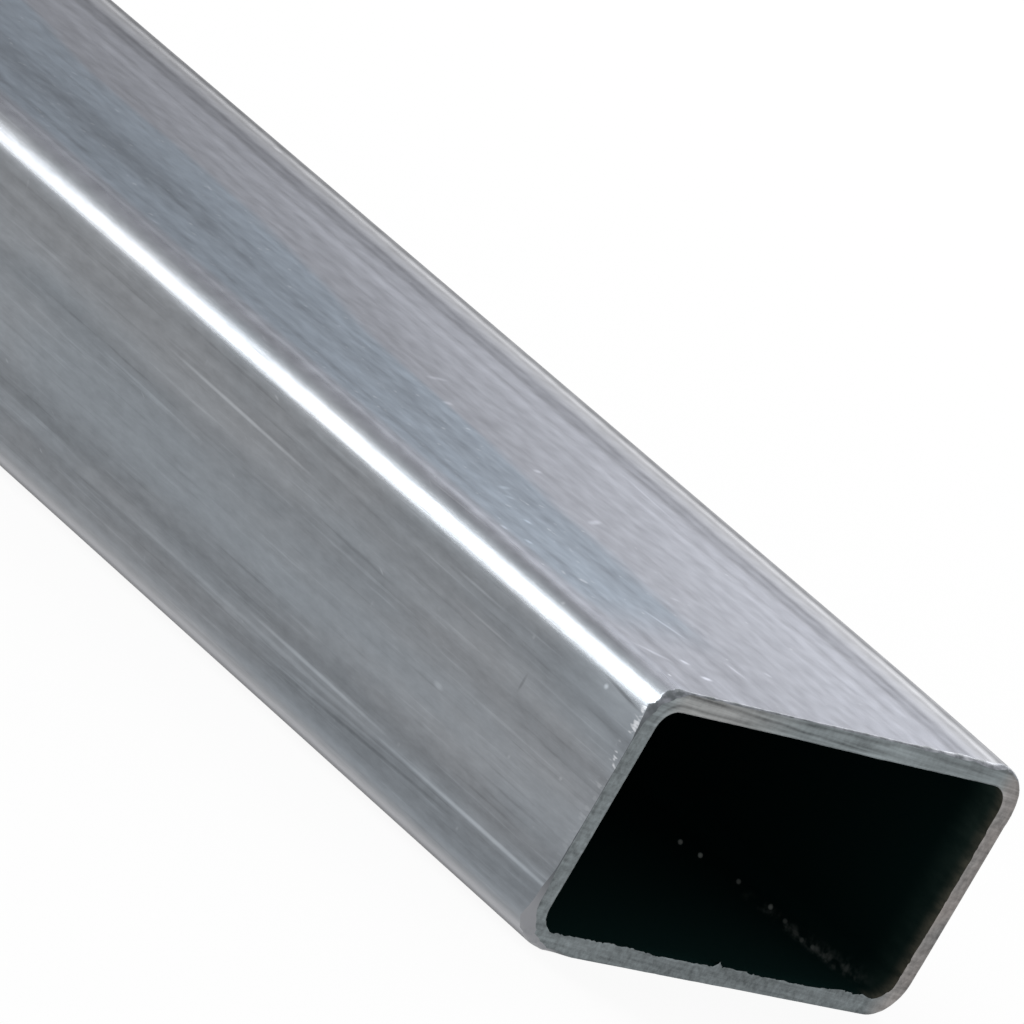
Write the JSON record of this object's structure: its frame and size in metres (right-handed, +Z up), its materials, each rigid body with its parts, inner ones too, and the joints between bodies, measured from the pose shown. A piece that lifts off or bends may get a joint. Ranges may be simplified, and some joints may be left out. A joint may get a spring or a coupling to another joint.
{
  "type": "rectangular steel tube",
  "caption": "Length of rectangular hollow section in bare steel, with round formed corners, a thin even wall, an open bore and square sawn ends, for welded or bolted framing.",
  "frame": {"origin": "middle of the underside, on the floor that the tube lies on, halfway along its length", "axes": "+X along the tube to its sawn end that faces the viewer, +Y across the wide faces, +Z up through the narrow height"},
  "size_m": [1, 0.04, 0.02],
  "materials": {
    "bare_steel": "bare cold-formed steel: satin grey with long draw lines and a brighter gloss on the bends, matt sawn ends, dark bore"
  },
  "bodies": {
    "root": {"tube": "bare_steel"}
  },
  "joints": []
}
